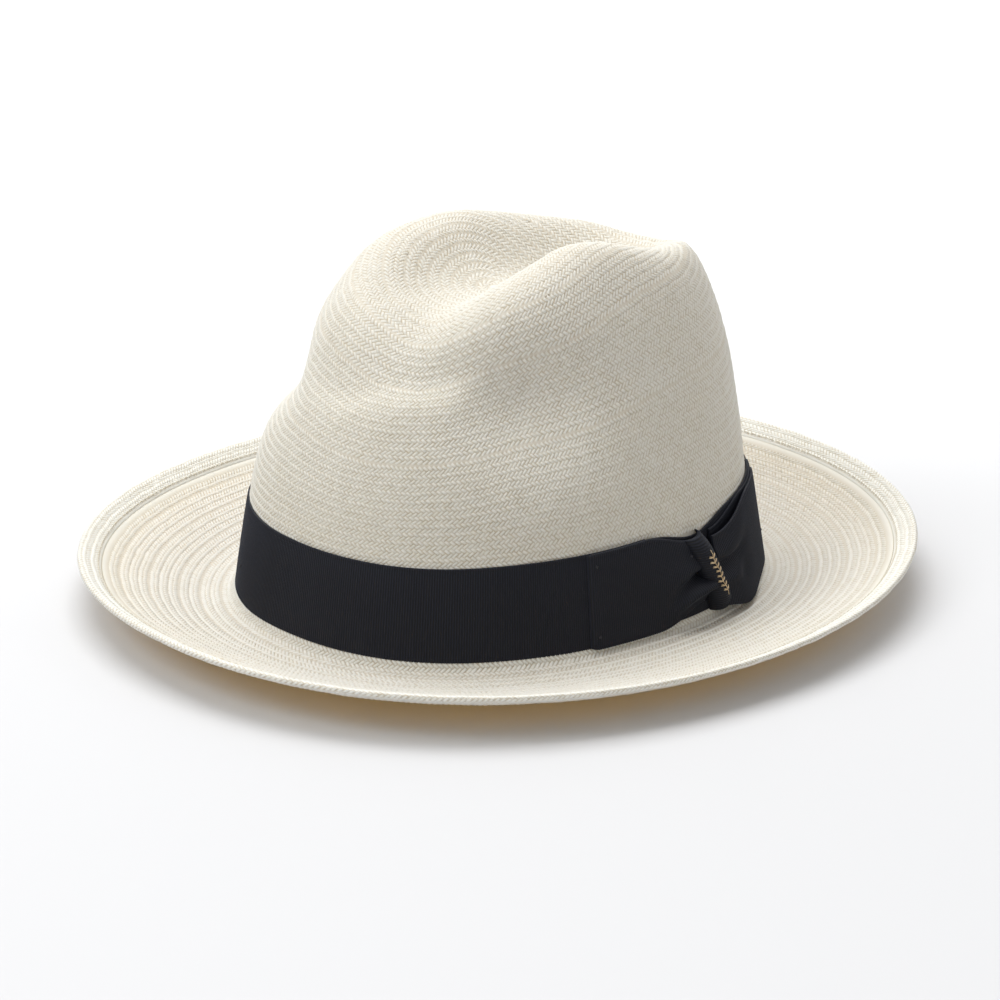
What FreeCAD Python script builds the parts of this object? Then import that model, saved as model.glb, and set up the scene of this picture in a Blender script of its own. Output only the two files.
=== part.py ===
import FreeCAD, Part
import math
import os

# Panama hat with a centre-dented crown, a folded and stitched brim edge, and a ribbon band with a bow.
# Millimetres. +Z up. Z = 0 is the plane the brim rests on. The origin is the middle of the head opening.
# The front is -Y, the back is +Y and the wearer's left, where the bow is, is +X.

# ---- driving dimensions ----
HALF_WIDTH = 86.0          # crown at the base, outside, along X
HALF_LENGTH = 102.5        # crown at the base, outside, along Y
PLAN_POWER = 2.2           # 2 is an ellipse, more is squarer
STRAW = 1.2                # woven straw, one layer
WALL_TAPER = 0.0016        # share of the plan radius lost per mm of height, below WALL_TOP
WALL_TOP = 45.0

BRIM_WIDTH = 60.0          # mean, measured level from the crown's base to the rim
BRIM_SIDE_EXTRA = 3.0      # wider at the sides, narrower at front and back
RIM_HEIGHT = 18.7          # mean height of the rim's upper edge
RIM_BACK_EXTRA = 1.0       # the back of the rim is this much higher, the front this much lower
RIM_SIDE_DROP = 1.6        # the sides of the rim are lower, front and back are higher
FOLD_WIDTH = 8.8           # level width of the folded edge
FOLD_RISE = 4.7            # height the folded edge climbs over its width
FOLD_STEP = 1.0            # height of the step where the fold ends on the brim's upper side
REST_INNER = 5.0           # the flat resting ring on the underside, offset from the crown's base
REST_OUTER = 12.0

RIBBON = 0.6               # grosgrain thickness
RIBBON_BOTTOM = 5.0
RIBBON_TOP = 39.0
GAP = 0.12                 # air between neighbouring pieces
LEATHER = 1.0
SWEAT_BOTTOM = 3.2
SWEAT_TOP = 37.0
REED_RADIUS = 1.0
THREAD = 0.5               # sewing thread, side of its square section

KNOT_ANGLE = 19.5          # degrees behind the wearer's left
KNOT_HALF = 3.1            # half width of the knot in degrees
KNOT_SLANT = 8.0           # the knot's lower end is this many degrees further back than its top
KNOT_GATHER = 4.6          # the knot draws the band's upper edge down this much
BAND_BACK_RISE = 2.6       # the band's upper edge is this much higher at the back
PANEL_START = -18.5        # the bow's front panel begins here
WING_END = 58.0            # the bow's rear wing ends here

COLUMNS = 72               # poles around the hat

# crown profiles as (share of the plan radius, height), from the tip to the wall's top
SIDE = [(0.03, 126), (0.20, 128.5), (0.36, 131.5), (0.53, 128), (0.675, 113), (0.80, 88), (0.888, 62)]
FRONT = [(0.03, 126), (0.24, 130), (0.44, 133), (0.585, 129), (0.69, 112), (0.795, 84), (0.89, 60)]
BACK = [(0.03, 126), (0.25, 124), (0.48, 121.5), (0.68, 123.5), (0.77, 119), (0.87, 93), (0.915, 62)]
TIP_SHIFT = -3.0           # the weave's centre lies in front of the middle
LEAN = 1.0                 # the top is this much lower on the left
TWIST = 5.0                # and this much higher at the back left and the front right

DENT_DEPTH = 15.0
DENT_CENTRE = -1.0
DENT_HALF = 25.0
DENT_HALF_FRONT = 3.0      # the dent is this much wider 50 mm further forward
DENT_BACK = 66.0           # the dent fades out here
DENT_FADE = 9.0
DENT_RISE = 0.30              # the dent is this much shallower in the middle of the crown
# front pinches: side (+1 is left), depth, Y, Z, half length, half height
PINCHES = [(1.0, 12.3, -38.0, 90.0, 27.0, 20.0), (-1.0, 3.7, -50.0, 129.0, 30.0, 26.5),
           (-1.0, 10.0, -52.0, 84.0, 30.0, 13.0)]
# rises and falls of the top: height, centre along X, centre along Y, half size along X, half size along Y
RIDGE_FORMS = [(7.6, 36.0, 11.0, 20.0, 26.0), (-15.6, 31.0, -56.5, 24.0, 21.0), (3.9, -34.0, 18.0, 20.0, 28.0),
               (-10.8, -38.0, -60.0, 20.0, 31.0), (1.5, -22.0, 56.0, 30.0, 26.0)]


# ---- shape of the crown and brim ----
def plan_radius(angle):
    c = abs(math.cos(angle) / HALF_WIDTH)
    s = abs(math.sin(angle) / HALF_LENGTH)
    return (c ** PLAN_POWER + s ** PLAN_POWER) ** (-1.0 / PLAN_POWER)


def plan_normal(angle):
    step = 1e-4
    a = plan_radius(angle - step)
    b = plan_radius(angle + step)
    tx = b * math.cos(angle + step) - a * math.cos(angle - step)
    ty = b * math.sin(angle + step) - a * math.sin(angle - step)
    size = math.hypot(tx, ty)
    return ty / size, -tx / size


def logistic(value):
    return 1.0 / (1.0 + math.exp(-max(-60.0, min(60.0, value))))


def deform(x, y, z):
    """The slight twist, the centre dent and the two front pinches, pressed into the plain crown."""
    left = math.tanh(x / 30.0)
    z += (TWIST * left * math.tanh(y / 50.0) - LEAN * left) * logistic((z - 100.0) / 6.0)
    for height, centre_x, centre_y, half_wide, half_long in RIDGE_FORMS:
        form = height * math.exp(-((x - centre_x) / half_wide) ** 2 - ((y - centre_y) / half_long) ** 2)
        z += form * logistic((z - 100.0) / 6.0)
    forward = max(-1.5, min(1.5, -y / 50.0))
    depth = DENT_DEPTH * logistic((DENT_BACK - y) / DENT_FADE) * logistic((z - 95.0) / 6.0)
    depth *= 1.0 - DENT_RISE * math.exp(-((y - 4.0) / 26.0) ** 2)
    half = DENT_HALF + DENT_HALF_FRONT * forward
    low = z - depth * math.exp(-1.2 * abs((x - DENT_CENTRE) / half) ** 2.6)
    for side, amount, centre_y, centre_z, half_long, half_tall in PINCHES:
        push = amount * math.exp(-((y - centre_y) / half_long) ** 2 - ((low - centre_z) / half_tall) ** 2)
        push *= logistic((side * x - 20.0) / 7.0)
        x -= side * push
        y += 0.3 * push
    return FreeCAD.Vector(x, y, low)


def wall_share(z):
    return 1.0 - WALL_TAPER * z


def wall_point(angle, z, offset):
    """A point of the lower wall, moved out by offset."""
    r = plan_radius(angle) * wall_share(z)
    nx, ny = plan_normal(angle)
    return deform(r * math.cos(angle) + offset * nx, r * math.sin(angle) + offset * ny, z)


def crown_point(angle, front, side, back):
    s2 = math.sin(angle) ** 2
    end = front if math.sin(angle) < 0.0 else back
    share = end[0] * s2 + side[0] * (1.0 - s2)
    z = end[1] * s2 + side[1] * (1.0 - s2)
    r = plan_radius(angle) * share
    shift = TIP_SHIFT * (1.0 - min(share, 1.0)) ** 1.5
    return deform(r * math.cos(angle), r * math.sin(angle) + shift, z)


def brim_width(angle):
    return BRIM_WIDTH + BRIM_SIDE_EXTRA * math.cos(2.0 * angle)


def rim_height(angle):
    return RIM_HEIGHT + RIM_BACK_EXTRA * math.sin(angle) - RIM_SIDE_DROP * math.cos(2.0 * angle)


def brim_point(angle, offset, z):
    r = plan_radius(angle)
    nx, ny = plan_normal(angle)
    return FreeCAD.Vector(r * math.cos(angle) + offset * nx, r * math.sin(angle) + offset * ny, z)


def brim_height(angle, offset):
    """Upper side of the brim, without the step of the fold."""
    fold = brim_width(angle) - FOLD_WIDTH
    top = rim_height(angle) - FOLD_RISE - FOLD_STEP - STRAW
    if offset <= REST_OUTER:
        return STRAW
    share = (offset - REST_OUTER) / (fold - REST_OUTER)
    if share <= 1.0:
        return STRAW + top * share ** 1.35
    return STRAW + top + FOLD_RISE * (offset - fold) / FOLD_WIDTH


# ---- surfaces ----
def angles():
    return [2.0 * math.pi * i / COLUMNS for i in range(COLUMNS)]


def spline_face(rows, closed):
    """A B-spline face through a net of poles. rows[i][j], j runs around when closed."""
    surface = Part.BSplineSurface()
    count = len(rows)
    across = len(rows[0])
    degree = min(3, count - 1)
    spans = count - degree
    row_mults = [degree + 1] + [1] * (spans - 1) + [degree + 1]
    row_knots = [float(i) for i in range(spans + 1)]
    if closed:
        degree_around = 3
        col_mults = [1] * (across + 1)
        col_knots = [float(i) for i in range(across + 1)]
    else:
        degree_around = min(3, across - 1)
        col_spans = across - degree_around
        col_mults = [degree_around + 1] + [1] * (col_spans - 1) + [degree_around + 1]
        col_knots = [float(i) for i in range(col_spans + 1)]
    surface.buildFromPolesMultsKnots(rows, row_mults, col_mults, row_knots, col_knots,
                                     False, closed, degree, degree_around)
    return surface.toShape()


def loop_edge(row):
    curve = Part.BSplineCurve()
    mults = [1] * (len(row) + 1)
    knots = [float(i) for i in range(len(row) + 1)]
    curve.buildFromPolesMultsKnots(row, mults, knots, True, 3)
    return curve.toShape()


def disc(row):
    return Part.Face(Part.Wire([loop_edge(row)]))


def flat_ring(outer_row, inner_row):
    outer = Part.Face(Part.Wire([loop_edge(outer_row)]))
    inner = Part.Face(Part.Wire([loop_edge(inner_row)]))
    return outer.cut(inner).Faces[0]


def solid(faces, name):
    shell = Part.makeShell(faces)
    shell.sewShape()
    shape = Part.Solid(Part.Shell(shell.Faces))
    if shape.Volume < 0.0:
        shape.reverse()
    if not shape.isValid():
        shape.fix(0.01, 0.01, 0.05)
    print(name, "valid", shape.isValid(), "closed", shape.Shells[0].isClosed(), "volume", round(shape.Volume))
    return shape


def ring_solid(sections, name):
    """A closed ring from cross-section corners; every section is a list of corner rows around the hat."""
    faces = []
    count = len(sections)
    for i in range(count):
        faces.append(spline_face([sections[i], sections[(i + 1) % count]], True))
    return solid(faces, name)


def slab(outer, inner, name):
    """A closed patch between two nets of poles with the same layout."""
    faces = [spline_face(outer, False), spline_face(inner, False)]
    faces.append(spline_face([outer[0], inner[0]], False))
    faces.append(spline_face([outer[-1], inner[-1]], False))
    faces.append(spline_face([[row[0] for row in outer], [row[0] for row in inner]], False))
    faces.append(spline_face([[row[-1] for row in outer], [row[-1] for row in inner]], False))
    return solid(faces, name)


def tube(path, radius, name, sides=6):
    """A round thread along a closed path of points."""
    rows = [[] for _ in range(sides)]
    count = len(path)
    scale = radius * 1.5
    for i in range(count):
        tangent = path[(i + 1) % count] - path[i - 1]
        tangent.normalize()
        across = tangent.cross(FreeCAD.Vector(0, 0, 1))
        across.normalize()
        up = across.cross(tangent)
        for k in range(sides):
            turn = 2.0 * math.pi * k / sides
            rows[k].append(path[i] + across * (scale * math.cos(turn)) + up * (scale * math.sin(turn)))
    surface = Part.BSplineSurface()
    surface.buildFromPolesMultsKnots(rows, [1] * (sides + 1), [1] * (count + 1),
                                     [float(i) for i in range(sides + 1)],
                                     [float(i) for i in range(count + 1)], True, True, 3, 3)
    return solid([surface.toShape()], name)


def normals_of(rows):
    """Outward unit normals of a net that is closed around."""
    result = []
    for i, row in enumerate(rows):
        above = rows[max(i - 1, 0)]
        below = rows[min(i + 1, len(rows) - 1)]
        line = []
        for j in range(len(row)):
            around = row[(j + 1) % len(row)] - row[j - 1]
            down = below[j] - above[j]
            n = down.cross(around)
            n.normalize()
            line.append(n)
        result.append(line)
    return result


def offset_rows(rows, depths):
    """The net moved inwards, each row by its own depth."""
    moved = []
    for row, line, depth in zip(rows, normals_of(rows), depths):
        moved.append([p - n * depth for p, n in zip(row, line)])
    return moved


def refine(profile, steps):
    """More points on a profile, on a smooth curve through its middle."""
    points = []
    spans = len(profile) - 1
    for i in range(spans * steps + 1):
        t = i / steps
        k = min(int(t), spans - 1)
        f = t - k
        p0 = profile[max(k - 1, 0)]
        p1 = profile[k]
        p2 = profile[k + 1]
        p3 = profile[min(k + 2, spans)]
        point = []
        for a, b, c, d in zip(p0, p1, p2, p3):
            point.append(0.5 * (2 * b + (c - a) * f + (2 * a - 5 * b + 4 * c - d) * f * f
                                + (3 * b - a - 3 * c + d) * f ** 3))
        points.append(tuple(point))
    return points


def crown_rows():
    front = refine(FRONT, 4)
    side = refine(SIDE, 4)
    back = refine(BACK, 4)
    rows = []
    for f, s, b in zip(front, side, back):
        rows.append([crown_point(a, f, s, b) for a in angles()])
    tip = rows[0]
    level = sum(p.z for p in tip) / len(tip)
    rows[0] = [FreeCAD.Vector(p.x, p.y, level) for p in tip]
    for z in (WALL_TOP, 36.0, 27.0, 18.0, 12.0, 8.0):
        rows.append([wall_point(a, z, 0.0) for a in angles()])
    return rows


def straw_body():
    crown = crown_rows()
    top = list(crown)
    for offset, z in ((0.1, 4.6), (1.6, 2.2), (4.4, STRAW + 0.1), (8.0, STRAW)):
        top.append([brim_point(a, offset, z) for a in angles()])
    shares = [0.0, 0.12, 0.24, 0.36, 0.48, 0.60, 0.72, 0.84, 0.93]
    depths = [STRAW] * (len(top) + len(shares))
    for share in shares:
        row = []
        for a in angles():
            offset = REST_OUTER + share * (brim_width(a) - FOLD_WIDTH - REST_OUTER)
            row.append(brim_point(a, offset, brim_height(a, offset)))
        top.append(row)
    fold = [(-0.9, 0.0), (-0.3, 0.0), (-0.2, FOLD_STEP), (0.5, FOLD_STEP), (2.5, FOLD_STEP),
            (4.5, FOLD_STEP), (6.5, FOLD_STEP), (FOLD_WIDTH - 0.6, FOLD_STEP)]
    for extra, lift in fold:
        row = []
        for a in angles():
            offset = brim_width(a) - FOLD_WIDTH + extra
            row.append(brim_point(a, offset, brim_height(a, offset) + lift))
        top.append(row)
        depths.append(STRAW if lift == 0.0 else STRAW + FOLD_STEP)
    under = offset_rows(top, depths)

    flat_in = len(crown) + 2
    flat_out = len(crown) + 4
    inner_loop = [brim_point(a, REST_INNER, 0.0) for a in angles()]
    outer_loop = [brim_point(a, REST_OUTER, 0.0) for a in angles()]
    inside = under[:flat_in] + [inner_loop]
    level = sum(p.z for p in under[0]) / len(under[0])
    inside[0] = [FreeCAD.Vector(p.x, p.y, level) for p in under[0]]
    beneath = [outer_loop] + under[flat_out + 1:]
    rim = []
    for a, p, q in zip(angles(), top[-1], under[-1]):
        nx, ny = plan_normal(a)
        rim.append((p + q) * 0.5 + FreeCAD.Vector(nx * 1.5, ny * 1.5, 0.5))
    faces = [disc(top[0]), spline_face(top, True), spline_face([top[-1], rim, under[-1]], True),
             spline_face(beneath, True), flat_ring(outer_loop, inner_loop),
             spline_face(inside, True), disc(inside[0])]
    return solid(faces, "straw_body")


def square_thread(centre, side, name):
    """A closed thread of square section. centre(angle, out, up) gives a point beside the thread's middle."""
    half = side / 2.0
    corners = []
    for out, up in ((half, -half), (half, half), (-half, half), (-half, -half)):
        corners.append([centre(a, out, up) for a in angles()])
    faces = []
    for k in range(4):
        faces.append(spline_face([corners[k], corners[(k + 1) % 4]], True))
    return solid(faces, name)


def brim_edge_stitching():
    def centre(a, out, up):
        offset = brim_width(a) - FOLD_WIDTH + 1.6 + out
        return brim_point(a, offset, brim_height(a, offset) + FOLD_STEP + THREAD / 2.0 + 0.1 + up)

    return square_thread(centre, THREAD, "brim_edge_stitching")


# ---- ribbon band, bow and sweatband ----
def smooth(t):
    t = max(0.0, min(1.0, t))
    return t * t * (3.0 - 2.0 * t)


def band(offset, thickness, bottom, top, name):
    """A band around the wall. top is a function of the angle."""
    outer = []
    inner = []
    for i in range(6):
        share = i / 5.0
        outer.append([wall_point(a, bottom + (top(a) - bottom) * share, offset + thickness) for a in angles()])
        inner.append([wall_point(a, bottom + (top(a) - bottom) * share, offset) for a in angles()])
    faces = [spline_face(outer, True), spline_face(inner, True),
             spline_face([outer[0], inner[0]], True), spline_face([outer[-1], inner[-1]], True)]
    return solid(faces, name)


def rad(degrees):
    return degrees * math.pi / 180.0


def slanted(z):
    """How far the knot's line leans at this height, in degrees."""
    return KNOT_SLANT * (0.5 - (z - RIBBON_BOTTOM) / (RIBBON_TOP - RIBBON_BOTTOM))


def hatband_ribbon():
    def top(a):
        gather = KNOT_GATHER * math.exp(-((math.remainder(a, 2.0 * math.pi) * 180.0 / math.pi - 17.0) / 10.0) ** 2)
        return RIBBON_TOP + BAND_BACK_RISE * smooth((math.sin(a) - 0.3) / 0.6) - gather

    return band(GAP, RIBBON, RIBBON_BOTTOM, top, "hatband_ribbon")


def patch(start, end, low, high, outer, inner, name, along=14, across=8, lean=lambda u: 1.0):
    """A piece that lies on the ribbon. low, high, outer and inner are functions of the share along it,
    lean is its share of the knot's slant."""
    over = []
    beneath = []
    for i in range(across + 1):
        w = i / across
        row_over = []
        row_beneath = []
        for j in range(along + 1):
            u = j / along
            z = low(u) + (high(u) - low(u)) * w
            a = rad(start + (end - start) * u + slanted(z) * lean(u))
            row_over.append(wall_point(a, z, RIBBON + GAP + outer(u, w)))
            row_beneath.append(wall_point(a, z, RIBBON + GAP + inner(u, w)))
        over.append(row_over)
        beneath.append(row_beneath)
    return slab(over, beneath, name)


def bow_front_panel():
    def low(u):
        return RIBBON_BOTTOM - 0.2 + 5.5 * smooth((u - 0.45) / 0.55)

    def high(u):
        return RIBBON_TOP + 0.2 - 4.0 * smooth((u - 0.55) / 0.45)

    def outer(u, w):
        pleat = 1.6 * smooth((u - 0.55) / 0.45) * math.exp(-((w - 0.42) / 0.12) ** 2)
        return 1.5 + 3.4 * smooth((u - 0.35) / 0.65) * math.sin(math.pi * w) ** 0.5 - pleat

    return patch(PANEL_START, KNOT_ANGLE - KNOT_HALF, low, high, outer, lambda u, w: GAP, "bow_front_panel",
                 lean=lambda u: smooth((u - 0.3) / 0.7))


def bow_rear_wing():
    def low(u):
        return RIBBON_BOTTOM + 5.3 - 5.0 * smooth(u / 0.6)

    def high(u):
        return RIBBON_TOP - 3.8 + 5.0 * smooth(u / 0.7)

    def outer(u, w):
        return 3.0 + 4.5 * math.sin(math.pi * min(1.0, u * 1.1)) + 1.5 * u

    def inner(u, w):
        return 1.6 + 3.6 * math.sin(math.pi * min(1.0, u * 1.1)) + 0.8 * u

    return patch(KNOT_ANGLE + KNOT_HALF, WING_END, low, high, outer, inner, "bow_rear_wing",
                 lean=lambda u: 1.0 - smooth(u / 0.7))


def bow_under_layer():
    return patch(KNOT_ANGLE + KNOT_HALF, WING_END + 4.0, lambda u: RIBBON_BOTTOM + 0.3,
                 lambda u: RIBBON_TOP + 0.5 * u, lambda u, w: 1.2, lambda u, w: GAP, "bow_under_layer",
                 lean=lambda u: 1.0 - smooth(u / 0.7))


def bow_knot():
    def outer(u, w):
        return 5.8 + 2.2 * math.sin(math.pi * u) ** 0.5 - 1.2 * abs(2.0 * w - 1.0) ** 3

    return patch(KNOT_ANGLE - KNOT_HALF + 0.15, KNOT_ANGLE + KNOT_HALF - 0.15, lambda u: RIBBON_BOTTOM + 3.0,
                 lambda u: RIBBON_TOP - 1.5, outer, lambda u, w: GAP, "bow_knot", 8, 8)


def knot_embroidery():
    def outer(u, w):
        return 9.6

    def inner(u, w):
        return 8.4

    return patch(KNOT_ANGLE - 0.9, KNOT_ANGLE + 0.9, lambda u: RIBBON_BOTTOM + 9.0,
                 lambda u: RIBBON_TOP - 8.0, outer, inner, "knot_embroidery", 4, 8)


def tack(angle, z, offset):
    centre = wall_point(rad(angle), z, offset)
    return Part.makeSphere(0.7, centre)


def ribbon_tacks():
    places = [(PANEL_START + 1.2, RIBBON_TOP - 3.0, 3.2), (PANEL_START + 1.2, RIBBON_BOTTOM + 2.8, 3.2),
              (KNOT_ANGLE - 8.5, RIBBON_TOP - 8.0, 7.2), (-113.0, RIBBON_TOP - 23.0, RIBBON + GAP + 0.85),
              (WING_END - 3.0, RIBBON_BOTTOM + 11.0, 6.3)]
    return Part.makeCompound([tack(*place) for place in places])


def sweatband():
    offset = -STRAW - 0.25 - LEATHER
    return band(offset, LEATHER, SWEAT_BOTTOM, lambda a: SWEAT_TOP, "sweatband")


def sweatband_reed():
    z = SWEAT_BOTTOM - REED_RADIUS - 0.1
    path = [wall_point(2.0 * math.pi * i / 120, z, -STRAW - 0.3 - REED_RADIUS) for i in range(120)]
    return tube(path, REED_RADIUS, "sweatband_reed")


def sweatband_stitching():
    offset = -STRAW - 0.25 - LEATHER - THREAD / 2.0 - 0.1

    def centre(a, out, up):
        return wall_point(a, SWEAT_BOTTOM + 2.4 + up, offset + out)

    return square_thread(centre, THREAD, "sweatband_stitching")


def inside_patch(centre, half, bottom, top, thickness, depth, name):
    """A flat piece lying on the sweatband's inner side."""
    base = -STRAW - 0.25 - LEATHER - depth
    over = []
    beneath = []
    for i in range(5):
        z = bottom + (top - bottom) * i / 4.0
        row = [rad(centre - half + half * j / 4.0) for j in range(9)]
        over.append([wall_point(a, z, base) for a in row])
        beneath.append([wall_point(a, z, base - thickness) for a in row])
    return slab(over, beneath, name)


def sweatband_rear_tape():
    return inside_patch(90.0, 3.2, SWEAT_BOTTOM + 4.0, SWEAT_TOP - 0.5, 0.5, GAP, "sweatband_rear_tape")


def sweatband_bow():
    lobes = []
    for side in (-1.0, 1.0):
        lobes.append(inside_patch(90.0 + side * 2.6, 2.3, SWEAT_TOP - 8.5, SWEAT_TOP - 4.5, 1.2, 0.9, "bow lobe"))
    middle = inside_patch(90.0, 0.7, SWEAT_TOP - 7.9, SWEAT_TOP - 5.1, 1.8, 0.75, "bow middle")
    whole = middle
    for lobe in lobes:
        whole = whole.fuse(lobe)
    print("sweatband_bow valid", whole.isValid(), "solids", len(whole.Solids))
    return whole


def size_tag():
    return inside_patch(72.0, 4.0, SWEAT_TOP - 17.0, SWEAT_TOP - 3.0, 0.3, 0.15, "size_tag")


PIECES = {
    "straw_body": straw_body,
    "brim_edge_stitching": brim_edge_stitching,
    "hatband_ribbon": hatband_ribbon,
    "bow_front_panel": bow_front_panel,
    "bow_rear_wing": bow_rear_wing,
    "bow_under_layer": bow_under_layer,
    "bow_knot": bow_knot,
    "knot_embroidery": knot_embroidery,
    "ribbon_tacks": ribbon_tacks,
    "sweatband": sweatband,
    "sweatband_reed": sweatband_reed,
    "sweatband_stitching": sweatband_stitching,
    "sweatband_rear_tape": sweatband_rear_tape,
    "sweatband_bow": sweatband_bow,
    "size_tag": size_tag,
}

os.makedirs("parts", exist_ok=True)
for name, make in PIECES.items():
    shape = make()
    shape.exportStep("parts/" + name + ".step")
    box = shape.BoundBox
    print(name, [round(v, 1) for v in (box.XMin, box.XMax, box.YMin, box.YMax, box.ZMin, box.ZMax)])
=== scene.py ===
import math

import bpy
import numpy as np
from mathutils import Matrix, Vector


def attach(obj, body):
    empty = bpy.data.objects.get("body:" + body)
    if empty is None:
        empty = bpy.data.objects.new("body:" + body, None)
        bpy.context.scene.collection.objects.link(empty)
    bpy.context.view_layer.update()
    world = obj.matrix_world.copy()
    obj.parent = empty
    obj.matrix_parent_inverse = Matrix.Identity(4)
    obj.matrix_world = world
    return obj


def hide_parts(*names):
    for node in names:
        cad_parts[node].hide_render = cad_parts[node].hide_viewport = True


# Panama hat: visual model. Lengths in the shape formulas are millimetres, and meshes are written in metres.
# The front is -Y, the back is +Y and the wearer's left, where the bow is, is +X.

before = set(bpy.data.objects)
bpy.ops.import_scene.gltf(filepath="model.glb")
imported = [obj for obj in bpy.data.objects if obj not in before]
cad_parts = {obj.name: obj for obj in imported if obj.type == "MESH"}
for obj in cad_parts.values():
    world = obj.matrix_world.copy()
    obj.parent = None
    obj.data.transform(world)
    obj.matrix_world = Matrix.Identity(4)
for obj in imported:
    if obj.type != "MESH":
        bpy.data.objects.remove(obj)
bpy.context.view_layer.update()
rng = np.random.default_rng(11)

# ---- the hat's shape, the same formula as the CAD source ----
HALF_WIDTH = 86.0
HALF_LENGTH = 102.5
PLAN_POWER = 2.2                 # 2 is an ellipse, more is squarer
STRAW = 1.2
WALL_TAPER = 0.0016              # share of the plan radius lost per mm of height
BRIM_WIDTH = 60.0
BRIM_SIDE_EXTRA = 3.0
RIM_HEIGHT = 18.7
RIM_BACK_EXTRA = 1.0
RIM_SIDE_DROP = 1.6
FOLD_WIDTH = 8.8                 # the brim's folded edge
FOLD_RISE = 4.7
FOLD_STEP = 1.0
REST_OUTER = 12.0                # the brim lies flat up to here, measured out from the crown
RIBBON_BOTTOM = 5.0
RIBBON_TOP = 39.0

# crown profiles as (share of the plan radius, height), from the tip to the wall's top
TIP = [(0.0, 126), (0.03, 126)]
SIDE = TIP + [(0.20, 128.5), (0.36, 131.5), (0.53, 128), (0.675, 113), (0.80, 88), (0.888, 62)]
FRONT = TIP + [(0.24, 130), (0.44, 133), (0.585, 129), (0.69, 112), (0.795, 84), (0.89, 60)]
BACK = TIP + [(0.25, 124), (0.48, 121.5), (0.68, 123.5), (0.77, 119), (0.87, 93), (0.915, 62)]
WALL_LEVELS = (45.0, 36.0, 27.0, 18.0, 8.0)
TIP_SHIFT = -3.0                 # the weave's centre lies in front of the middle
LEAN = 1.0                       # the top is this much lower on the left
TWIST = 5.0                      # and this much higher at the back left and the front right
TOP_LEVEL = 100.0                # what shapes the crown's top fades in around this height
DENT_LEVEL = 95.0
LEVEL_FADE = 6.0
DENT_DEPTH = 15.0
DENT_CENTRE = -1.0
DENT_HALF = 25.0
DENT_HALF_FRONT = 3.0            # the dent is this much wider 50 mm further forward
DENT_BACK = 66.0                 # the dent fades out here
DENT_FADE = 9.0
DENT_RISE = 0.30                 # the dent is this much shallower in the middle of the crown
PINCH_INNER = 20.0               # the pinches fade out this far from the middle
PINCH_FADE = 7.0
# front pinches: side (+1 is left), depth, Y, Z, half length, half height
PINCHES = [(1.0, 12.3, -38.0, 90.0, 27.0, 20.0), (-1.0, 3.7, -50.0, 129.0, 30.0, 26.5),
           (-1.0, 10.0, -52.0, 84.0, 30.0, 13.0)]
# swells and sinks of the two ridges beside the dent: height, X, Y, half width, half length
RIDGE_FORMS = [(7.6, 36.0, 11.0, 20.0, 26.0), (-15.6, 31.0, -56.5, 24.0, 21.0),
               (3.9, -34.0, 18.0, 20.0, 28.0), (-10.8, -38.0, -60.0, 20.0, 31.0),
               (1.5, -22.0, 56.0, 30.0, 26.0)]

# ---- the plait ----
STRAND = 1.27                    # width of one straw strand
HALF = STRAND / math.sqrt(2.0)   # half a row of the plait
PAIR = 4.0 * HALF                # one ring: a row leaning one way and a row leaning the other
RIDGE = 0.29                     # height of a strand's middle
VALLEY = -0.19                   # depth between strands
RING_WAVE = 0.085                # each ring stands proud of the gap to the next
JITTER = 0.03                    # how uneven the strands' height is
JOINT_GAP = 0.12                 # between zones of the plait, where strands are added
JOINT_SHARE = 0.36               # how little painted shade the plait gets there, as a height share
SHORTEST = 0.6 * PAIR            # no zone of plait is shorter than this
PLAIT_START = 2.0                # distance from the crown's tip
CROWN_WIDENING = 1.22            # strands are added once a ring is this much longer
BRIM_WIDENING = 1.09
HIDDEN_WALL = 25.0               # length of the wall behind the ribbon that is left plain
# the unevenness of hand weaving: size, waves around the hat, pitch along the plait, start
WOBBLE = [(0.10, 23, 0.11, 0.4), (0.09, 41, -0.17, 2.2), (0.07, 67, 0.09, 4.1), (0.05, 97, -0.23, 5.0)]
WOBBLE_FADE = 75.0


def around(count):
    """Angles spaced evenly around a circle."""
    return math.tau * np.arange(count) / count


def logistic(v):
    return 1.0 / (1.0 + np.exp(-np.clip(v, -60, 60)))


def smooth(t):
    t = np.clip(t, 0.0, 1.0)
    return t * t * (3.0 - 2.0 * t)


def plan_radius(a):
    c = np.abs(np.cos(a) / HALF_WIDTH)
    s = np.abs(np.sin(a) / HALF_LENGTH)
    return (c ** PLAN_POWER + s ** PLAN_POWER) ** (-1.0 / PLAN_POWER)


def plan_normal(a):
    d = 1e-4
    ra, rb = plan_radius(a - d), plan_radius(a + d)
    tx = rb * np.cos(a + d) - ra * np.cos(a - d)
    ty = rb * np.sin(a + d) - ra * np.sin(a - d)
    size = np.hypot(tx, ty)
    return ty / size, -tx / size


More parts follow.
